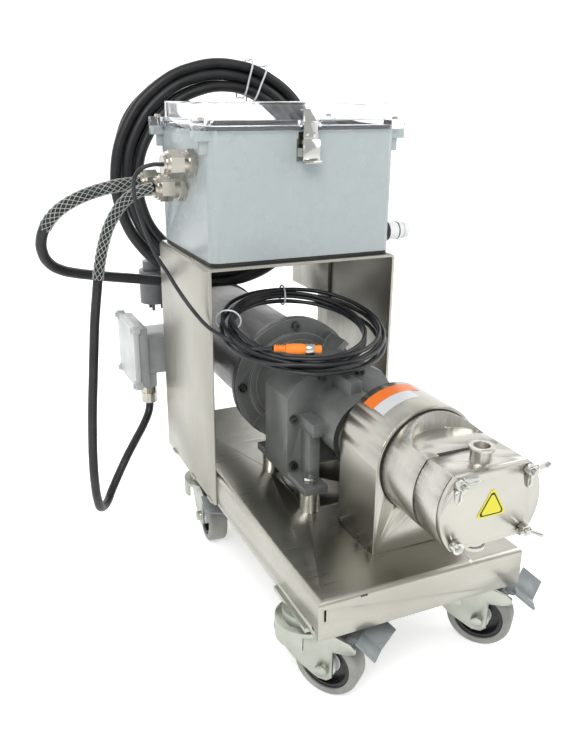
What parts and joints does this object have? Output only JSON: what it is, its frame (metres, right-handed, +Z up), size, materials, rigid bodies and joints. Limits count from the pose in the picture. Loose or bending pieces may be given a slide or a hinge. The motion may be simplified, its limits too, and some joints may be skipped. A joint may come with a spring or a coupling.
{
  "type": "mobile rotary lobe transfer pump",
  "caption": "Sanitary rotary lobe pump with gearmotor on a stainless wheeled cart, with a control enclosure with clear lid on a portal, and coiled mains and sensor leads.",
  "frame": {"origin": "centre of the footprint on the floor, leads not counted", "axes": "+X to the right seen from the pump end, +Y from the pump towards the motor fan, +Z up"},
  "size_m": [0.4732, 0.769, 0.6629],
  "materials": {
    "stainless_satin": "satin brushed stainless sheet",
    "stainless_polished": "fine polished stainless",
    "stainless_bolt": "bright stainless fastener",
    "black_steel": "blackened steel screw",
    "zinc_plate": "zinc plated pressed steel",
    "tyre_grey": "grey rubber tread",
    "wheel_core": "black moulded wheel core",
    "pedal_steel": "grey painted pedal",
    "enclosure_grey": "light grey moulded fibreglass polyester",
    "seal_black": "black foam rubber",
    "clear_lid": "clear polycarbonate",
    "plate_steel": "galvanised mounting plate",
    "drive_black": "dark moulded housing",
    "terminal_grey": "grey terminal blocks",
    "operator_black": "black operator bezel",
    "knob_pale": "pale selector knob",
    "nickel": "nickel plated brass",
    "motor_paint": "dark grey paint",
    "shaft_steel": "ground steel",
    "cast_box": "grey cast aluminium",
    "gear_paint": "dark grey paint over casting",
    "cable_black": "black cable jacket",
    "plug_grey": "grey moulded plug",
    "connector_orange": "orange moulded connector with nickel nut"
  },
  "bodies": {
    "base": {"tray": "stainless_satin", "portal": "stainless_satin", "pillars": "stainless_polished", "hex_bolts": "stainless_bolt", "cap_screws": "black_steel", "caster_plates": "zinc_plate", "enclosure": "enclosure_grey", "seals": "seal_black", "enclosure_hardware": "stainless_polished", "backplate": "plate_steel", "drive_unit": "drive_black", "terminals": "terminal_grey", "operator": "operator_black", "glands": "nickel", "gland_nuts": "nickel", "motor": "motor_paint", "fan_cowl": "motor_paint", "tbox": "cast_box", "tbox_lid": "cast_box", "adapter": "gear_paint", "gear_case": "gear_paint", "guard": "stainless_satin", "pump_gearcase": "stainless_polished", "rotor_housing": "stainless_polished", "mains_lead": "cable_black", "mains_coil": "cable_black", "mains_plug": "plug_grey", "motor_lead": "cable_black", "sensor_lead": "cable_black", "sensor_coil": "cable_black", "sensor_connector": "connector_orange"},
    "fork_fl": {"fork_fl": "zinc_plate"},
    "wheel_fl": {"tyre_fl": "tyre_grey", "core_fl": "wheel_core"},
    "brake_fl": {"pedal_fl": "pedal_steel"},
    "fork_fr": {"fork_fr": "zinc_plate"},
    "wheel_fr": {"tyre_fr": "tyre_grey", "core_fr": "wheel_core"},
    "brake_fr": {"pedal_fr": "pedal_steel"},
    "fork_rl": {"fork_rl": "zinc_plate"},
    "wheel_rl": {"tyre_rl": "tyre_grey", "core_rl": "wheel_core"},
    "brake_rl": {"pedal_rl": "pedal_steel"},
    "fork_rr": {"fork_rr": "zinc_plate"},
    "wheel_rr": {"tyre_rr": "tyre_grey", "core_rr": "wheel_core"},
    "brake_rr": {"pedal_rr": "pedal_steel"},
    "lid": {"lid": "clear_lid"},
    "latch": {"latch_strap": "stainless_polished"},
    "knob": {"knob": "knob_pale"},
    "motor_rotor": {"motor_rotor": "shaft_steel"},
    "lay_gear": {"lay_shaft": "shaft_steel"},
    "output": {"output_shaft": "shaft_steel", "drive_rotor": "shaft_steel"},
    "idler": {"idle_rotor": "shaft_steel"},
    "cover": {"pump_cover": "stainless_polished"},
    "wing_nut_tl": {"wing_tl": "stainless_polished"},
    "wing_nut_tr": {"wing_tr": "stainless_polished"},
    "wing_nut_bl": {"wing_bl": "stainless_polished"},
    "wing_nut_br": {"wing_br": "stainless_polished"}
  },
  "joints": [
    {"name": "swivel_fl", "type": "hinge", "parent": "base", "child": "fork_fl", "pos_m": [-0.11143, -0.2515, 0.08], "axis": [0, 0, 1], "continuous": true},
    {"name": "roll_fl", "type": "hinge", "parent": "fork_fl", "child": "wheel_fl", "pos_m": [-0.09338, -0.27546, 0.0375], "axis": [0.7986, 0.6018, 0], "continuous": true},
    {"name": "brake_fl", "type": "hinge", "parent": "fork_fl", "child": "brake_fl", "pos_m": [-0.07773, -0.29622, 0.077], "axis": [0.7986, 0.6018, 0], "range_deg": [-4, 8]},
    {"name": "swivel_fr", "type": "hinge", "parent": "base", "child": "fork_fr", "pos_m": [0.08757, -0.2515, 0.08], "axis": [0, 0, 1], "continuous": true},
    {"name": "roll_fr", "type": "hinge", "parent": "fork_fr", "child": "wheel_fr", "pos_m": [0.10725, -0.27414, 0.0375], "axis": [0.7547, 0.6561, 0], "continuous": true},
    {"name": "brake_fr", "type": "hinge", "parent": "fork_fr", "child": "brake_fr", "pos_m": [0.12431, -0.29376, 0.077], "axis": [0.7547, 0.6561, 0], "range_deg": [-4, 8]},
    {"name": "swivel_rl", "type": "hinge", "parent": "base", "child": "fork_rl", "pos_m": [-0.10443, 0.0965, 0.08], "axis": [0, 0, 1], "continuous": true},
    {"name": "roll_rl", "type": "hinge", "parent": "fork_rl", "child": "wheel_rl", "pos_m": [-0.10757, 0.06666, 0.0375], "axis": [0.9945, -0.1045, 0], "continuous": true},
    {"name": "brake_rl", "type": "hinge", "parent": "fork_rl", "child": "brake_rl", "pos_m": [-0.11028, 0.04081, 0.077], "axis": [0.9945, -0.1045, 0], "range_deg": [-4, 8]},
    {"name": "swivel_rr", "type": "hinge", "parent": "base", "child": "fork_rr", "pos_m": [0.09557, 0.0965, 0.08], "axis": [0, 0, 1], "continuous": true},
    {"name": "roll_rr", "type": "hinge", "parent": "fork_rr", "child": "wheel_rr", "pos_m": [0.10777, 0.06909, 0.0375], "axis": [0.9135, 0.4067, 0], "continuous": true},
    {"name": "brake_rr", "type": "hinge", "parent": "fork_rr", "child": "brake_rr", "pos_m": [0.11835, 0.04534, 0.077], "axis": [0.9135, 0.4067, 0], "range_deg": [-4, 8]},
    {"name": "lid_hinge", "type": "hinge", "parent": "base", "child": "lid", "pos_m": [-0.00443, 0.2015, 0.571], "axis": [1, 0, 0], "range_deg": [-85, 0]},
    {"name": "latch_pivot", "type": "hinge", "parent": "lid", "child": "latch", "pos_m": [-0.00443, -0.021, 0.58], "axis": [1, 0, 0], "range_deg": [-25, 0]},
    {"name": "selector_turn", "type": "hinge", "parent": "base", "child": "knob", "pos_m": [0.13057, 0.0085, 0.442], "axis": [1, 0, 0], "range_deg": [-135, 135]},
    {"name": "motor_spin", "type": "hinge", "parent": "base", "child": "motor_rotor", "pos_m": [-0.00143, 0.1345, 0.246], "axis": [0, 1, 0], "continuous": true},
    {"name": "lay_spin", "type": "hinge", "parent": "base", "child": "lay_gear", "pos_m": [-0.00143, -0.0755, 0.216], "axis": [0, 1, 0], "continuous": true},
    {"name": "output_spin", "type": "hinge", "parent": "base", "child": "output", "pos_m": [-0.00143, -0.2155, 0.246], "axis": [0, 1, 0], "continuous": true},
    {"name": "idler_spin", "type": "hinge", "parent": "base", "child": "idler", "pos_m": [0.04857, -0.3155, 0.246], "axis": [0, 1, 0], "continuous": true},
    {"name": "cover_slide", "type": "slide", "parent": "base", "child": "cover", "axis": [0, -1, 0], "range_m": [0, 0.06]},
    {"name": "wing_nut_turn_tl", "type": "hinge", "parent": "cover", "child": "wing_nut_tl", "pos_m": [-0.01643, -0.3755, 0.278], "axis": [0, 1, 0], "continuous": true},
    {"name": "wing_nut_turn_tr", "type": "hinge", "parent": "cover", "child": "wing_nut_tr", "pos_m": [0.06357, -0.3755, 0.278], "axis": [0, 1, 0], "continuous": true},
    {"name": "wing_nut_turn_bl", "type": "hinge", "parent": "cover", "child": "wing_nut_bl", "pos_m": [-0.01643, -0.3755, 0.214], "axis": [0, 1, 0], "continuous": true},
    {"name": "wing_nut_turn_br", "type": "hinge", "parent": "cover", "child": "wing_nut_br", "pos_m": [0.06357, -0.3755, 0.214], "axis": [0, 1, 0], "continuous": true}
  ],
  "couplings": [
    {"joint": "lay_spin", "follows": "motor_spin", "ratio": -0.36866},
    {"joint": "output_spin", "follows": "motor_spin", "ratio": 0.16029},
    {"joint": "idler_spin", "follows": "motor_spin", "ratio": -0.16029}
  ]
}
